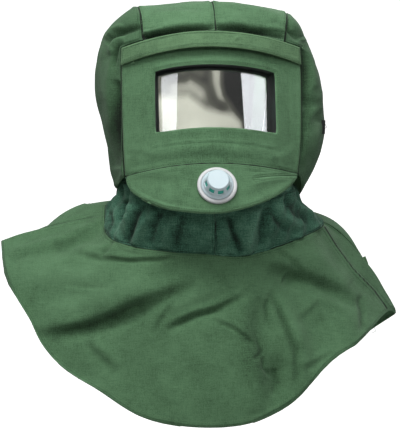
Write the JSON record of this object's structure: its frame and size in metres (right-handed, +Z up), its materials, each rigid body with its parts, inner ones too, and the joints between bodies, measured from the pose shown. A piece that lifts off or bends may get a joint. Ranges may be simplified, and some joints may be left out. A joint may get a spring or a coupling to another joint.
{
  "type": "sandblasting hood",
  "caption": "Canvas blasting hood with a framed clear window under a brow flap, a breathing valve in the chin, a gathered neck and a draped shoulder cape",
  "frame": {"origin": "under the inside top of the crown, where the hood rests on the wearer's head", "axes": "+Z up, -Y the way the window faces, +X to the right of someone looking at the window"},
  "size_m": [0.6015, 0.4049, 0.6194],
  "materials": {
    "canvas": "green cotton canvas, plain weave",
    "flap_canvas": "green cotton canvas, upper side in the light",
    "neck_canvas": "darker green cloth, gathered",
    "lining": "off-white cotton lining",
    "frame": "near-black soft plastic channel",
    "lens": "clear glossy plastic sheet",
    "valve_flange": "light grey moulded plastic",
    "valve_cap": "pale blue-white moulded plastic",
    "valve_membrane": "teal silicone rubber"
  },
  "bodies": {
    "root": {"front_panel": "canvas", "chin_panel": "canvas", "crown_left": "canvas", "crown_right": "canvas", "side_left": "canvas", "side_right": "canvas", "neck_left": "neck_canvas", "neck_right": "neck_canvas", "cape_front": "canvas", "cape_back": "canvas", "brow_flap": "flap_canvas", "side_tab": "flap_canvas", "back_lining": "lining", "lens_frame": "frame", "lens": "lens", "valve_flange": "valve_flange", "valve_cap": "valve_cap", "valve_membrane": "valve_membrane"}
  },
  "joints": []
}
